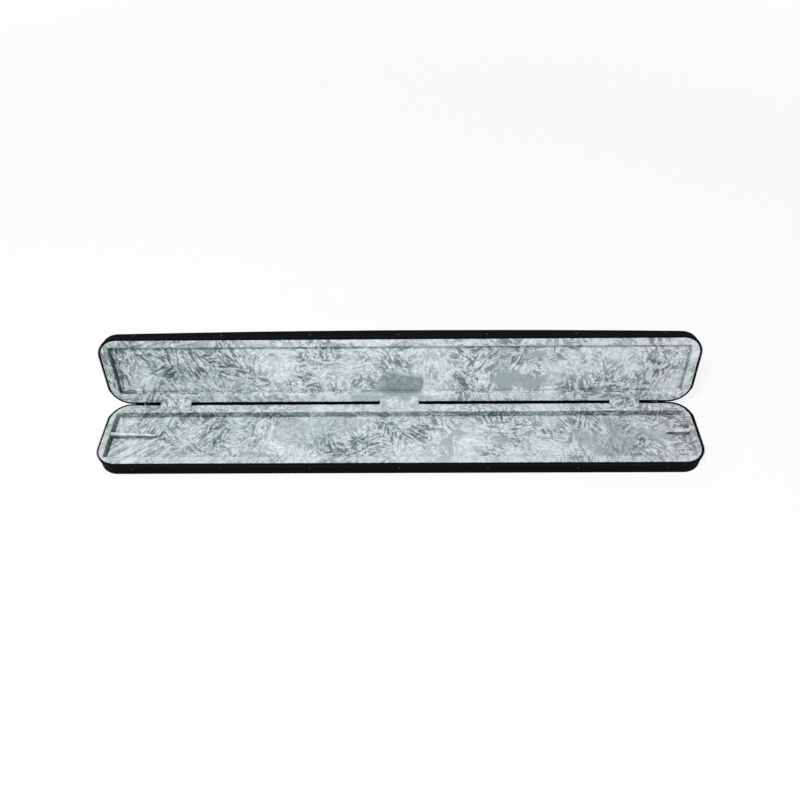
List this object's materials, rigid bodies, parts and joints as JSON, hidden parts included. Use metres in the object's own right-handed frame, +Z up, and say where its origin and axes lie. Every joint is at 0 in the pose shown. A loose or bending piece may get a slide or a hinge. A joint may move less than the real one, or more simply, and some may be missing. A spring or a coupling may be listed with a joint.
{
  "type": "cello bow case",
  "caption": "Long slim hinged case for two cello bows, standing open, with a black fabric cover, a zip and a crushed velvet lining.",
  "frame": {"origin": "centre of the base's underside", "axes": "+X along the case, +Y from the front wall to the hinges, +Z up"},
  "size_m": [0.7878, 0.1441, 0.1259],
  "materials": {
    "wood": "bare",
    "plywood": "bare",
    "cover_nylon": "woven",
    "velvet": "crushed velvet",
    "zip_tape": "woven",
    "zip_teeth": "satin",
    "zip_metal": "nickel plated",
    "screw_steel": "zinc plated",
    "hinge_steel": "zinc plated"
  },
  "bodies": {
    "base": {"base_frame": "wood", "base_panel": "plywood", "base_cover_panel": "cover_nylon", "base_cover_band": "cover_nylon", "spine_strip": "cover_nylon", "base_floor_pad": "velvet", "base_lining_front": "velvet", "base_lining_back": "velvet", "base_lining_left": "velvet", "base_lining_right": "velvet", "frog_divider": "velvet", "tip_divider": "velvet", "hinge_cover_left": "velvet", "hinge_cover_center": "velvet", "hinge_cover_right": "velvet", "base_zip_tape": "zip_tape", "base_zip_teeth": "zip_teeth", "zip_end_stops": "zip_metal", "base_cover_screws": "screw_steel", "base_leaf_screws": "screw_steel", "hinge_left_base_leaf": "hinge_steel", "hinge_left_pin": "hinge_steel", "hinge_center_base_leaf": "hinge_steel", "hinge_center_pin": "hinge_steel", "hinge_right_base_leaf": "hinge_steel", "hinge_right_pin": "hinge_steel"},
    "lid": {"lid_frame": "wood", "lid_panel": "plywood", "lid_cover_panel": "cover_nylon", "lid_cover_band": "cover_nylon", "lid_panel_pad": "velvet", "lid_lining_front": "velvet", "lid_lining_back": "velvet", "lid_lining_left": "velvet", "lid_lining_right": "velvet", "lid_zip_tape": "zip_tape", "lid_zip_teeth": "zip_teeth", "lid_cover_screws": "screw_steel", "lid_leaf_screws": "screw_steel", "hinge_left_lid_leaf": "hinge_steel", "hinge_center_lid_leaf": "hinge_steel", "hinge_right_lid_leaf": "hinge_steel"},
    "zip_slider_left": {"zip_slider_left": "zip_metal"},
    "zip_slider_right": {"zip_slider_right": "zip_metal"},
    "zip_pull_left": {"zip_pull_left": "zip_metal"},
    "zip_pull_right": {"zip_pull_right": "zip_metal"}
  },
  "joints": [
    {"name": "lid_hinge", "type": "hinge", "parent": "base", "child": "lid", "pos_m": [0, 0.05195, 0.0219], "axis": [1, 0, 0], "range_deg": [0, 100], "deforming": ["hinge_cover_left", "hinge_cover_center", "hinge_cover_right", "spine_strip"]},
    {"name": "zip_slider_left_slide", "type": "slide", "parent": "base", "child": "zip_slider_left", "axis": [-1, 0, 0], "range_m": [0, 0.009]},
    {"name": "zip_slider_right_slide", "type": "slide", "parent": "base", "child": "zip_slider_right", "axis": [1, 0, 0], "range_m": [0, 0.009]},
    {"name": "zip_pull_left_swing", "type": "hinge", "parent": "zip_slider_left", "child": "zip_pull_left", "pos_m": [-0.349, 0.05705, 0.0143], "axis": [0, 0, 1], "range_deg": [0, 170]},
    {"name": "zip_pull_right_swing", "type": "hinge", "parent": "zip_slider_right", "child": "zip_pull_right", "pos_m": [0.349, 0.05705, 0.0143], "axis": [0, 0, -1], "range_deg": [0, 170]}
  ]
}
